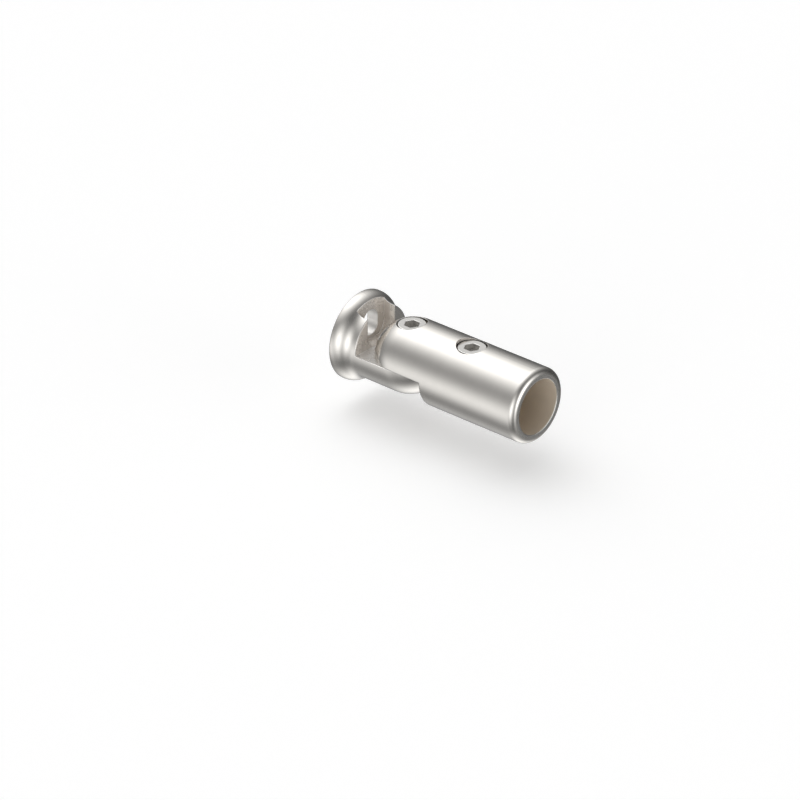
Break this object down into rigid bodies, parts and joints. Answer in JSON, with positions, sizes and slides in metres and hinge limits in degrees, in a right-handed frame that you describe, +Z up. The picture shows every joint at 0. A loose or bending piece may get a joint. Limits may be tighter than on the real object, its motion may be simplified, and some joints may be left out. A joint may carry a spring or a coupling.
{
  "type": "stabilizer rod wall bracket",
  "caption": "Articulated round wall bracket: a domed wall flange with a tongue, pivoted on a rod socket with a set screw that holds the rod.",
  "frame": {"origin": "centre of the flange's flat wall face", "axes": "+X away from the wall along the rod, +Z up along the pivot screw, towards its head"},
  "size_m": [0.064, 0.0266, 0.0266],
  "materials": {
    "body_steel": "satin",
    "screw_steel": "plain"
  },
  "bodies": {
    "base": {"wall_base": "body_steel", "pivot_screw": "screw_steel"},
    "socket": {"rod_socket": "body_steel"},
    "clamp": {"clamp_screw": "screw_steel"}
  },
  "joints": [
    {"name": "socket_swivel", "type": "hinge", "parent": "base", "child": "socket", "pos_m": [0.019, 0, 0], "axis": [0, 0, 1], "range_deg": [-90, 90]},
    {"name": "clamp_screw_travel", "type": "slide", "parent": "socket", "child": "clamp", "axis": [0, 0, 1], "range_m": [0, 0.0045]}
  ]
}
